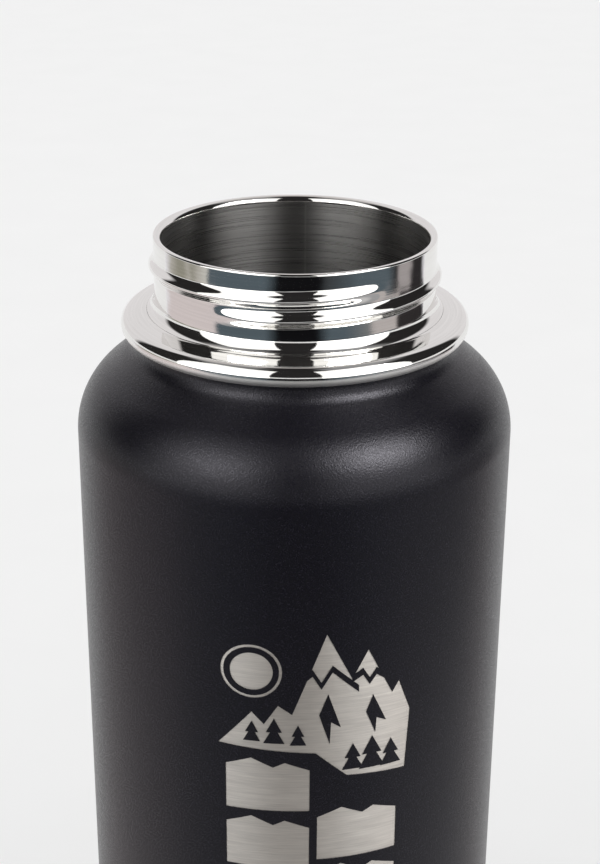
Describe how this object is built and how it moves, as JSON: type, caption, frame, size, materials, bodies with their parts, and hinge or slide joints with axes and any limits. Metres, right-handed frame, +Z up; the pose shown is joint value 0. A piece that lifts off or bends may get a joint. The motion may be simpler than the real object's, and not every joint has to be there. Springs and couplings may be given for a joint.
{
  "type": "vacuum water jug",
  "caption": "Tall round double-wall jug with a spun shoulder, wide threaded neck, rounded steel collar and recessed base, shown with its lid off.",
  "frame": {"origin": "centre of the foot, on the surface that the jug stands on", "axes": "+Z up along the bottle's axis; -Y is the front, the side with the etched mark; +X is to the right seen from the front"},
  "size_m": [0.0914, 0.0914, 0.256],
  "materials": {
    "brushed_steel": "fine horizontal brushing",
    "polished_steel": "mirror polished, satin on the collar's edge",
    "liner_steel": "circumferential brushing",
    "powder_coat": "matte black powder coat with a fine grain",
    "weld_metal": "fine weld ripple",
    "foil": "bright thin foil",
    "seal_glass": "fused solder glass",
    "getter": "pressed metal powder"
  },
  "bodies": {
    "root": {"outer_shell": "brushed_steel", "powder_coat": "powder_coat", "threaded_neck": "polished_steel", "collar_ring": "polished_steel", "lip_weld": "polished_steel", "neck_weld": "weld_metal", "liner_body": "liner_steel", "liner_base": "liner_steel", "liner_weld": "weld_metal", "foil_wrap": "foil", "foil_tape": "foil", "foil_base_disc": "foil", "outer_base": "brushed_steel", "base_weld": "weld_metal", "base_cover": "brushed_steel", "vacuum_seal": "seal_glass", "getter_pellet": "getter", "getter_clip": "brushed_steel"}
  },
  "joints": []
}
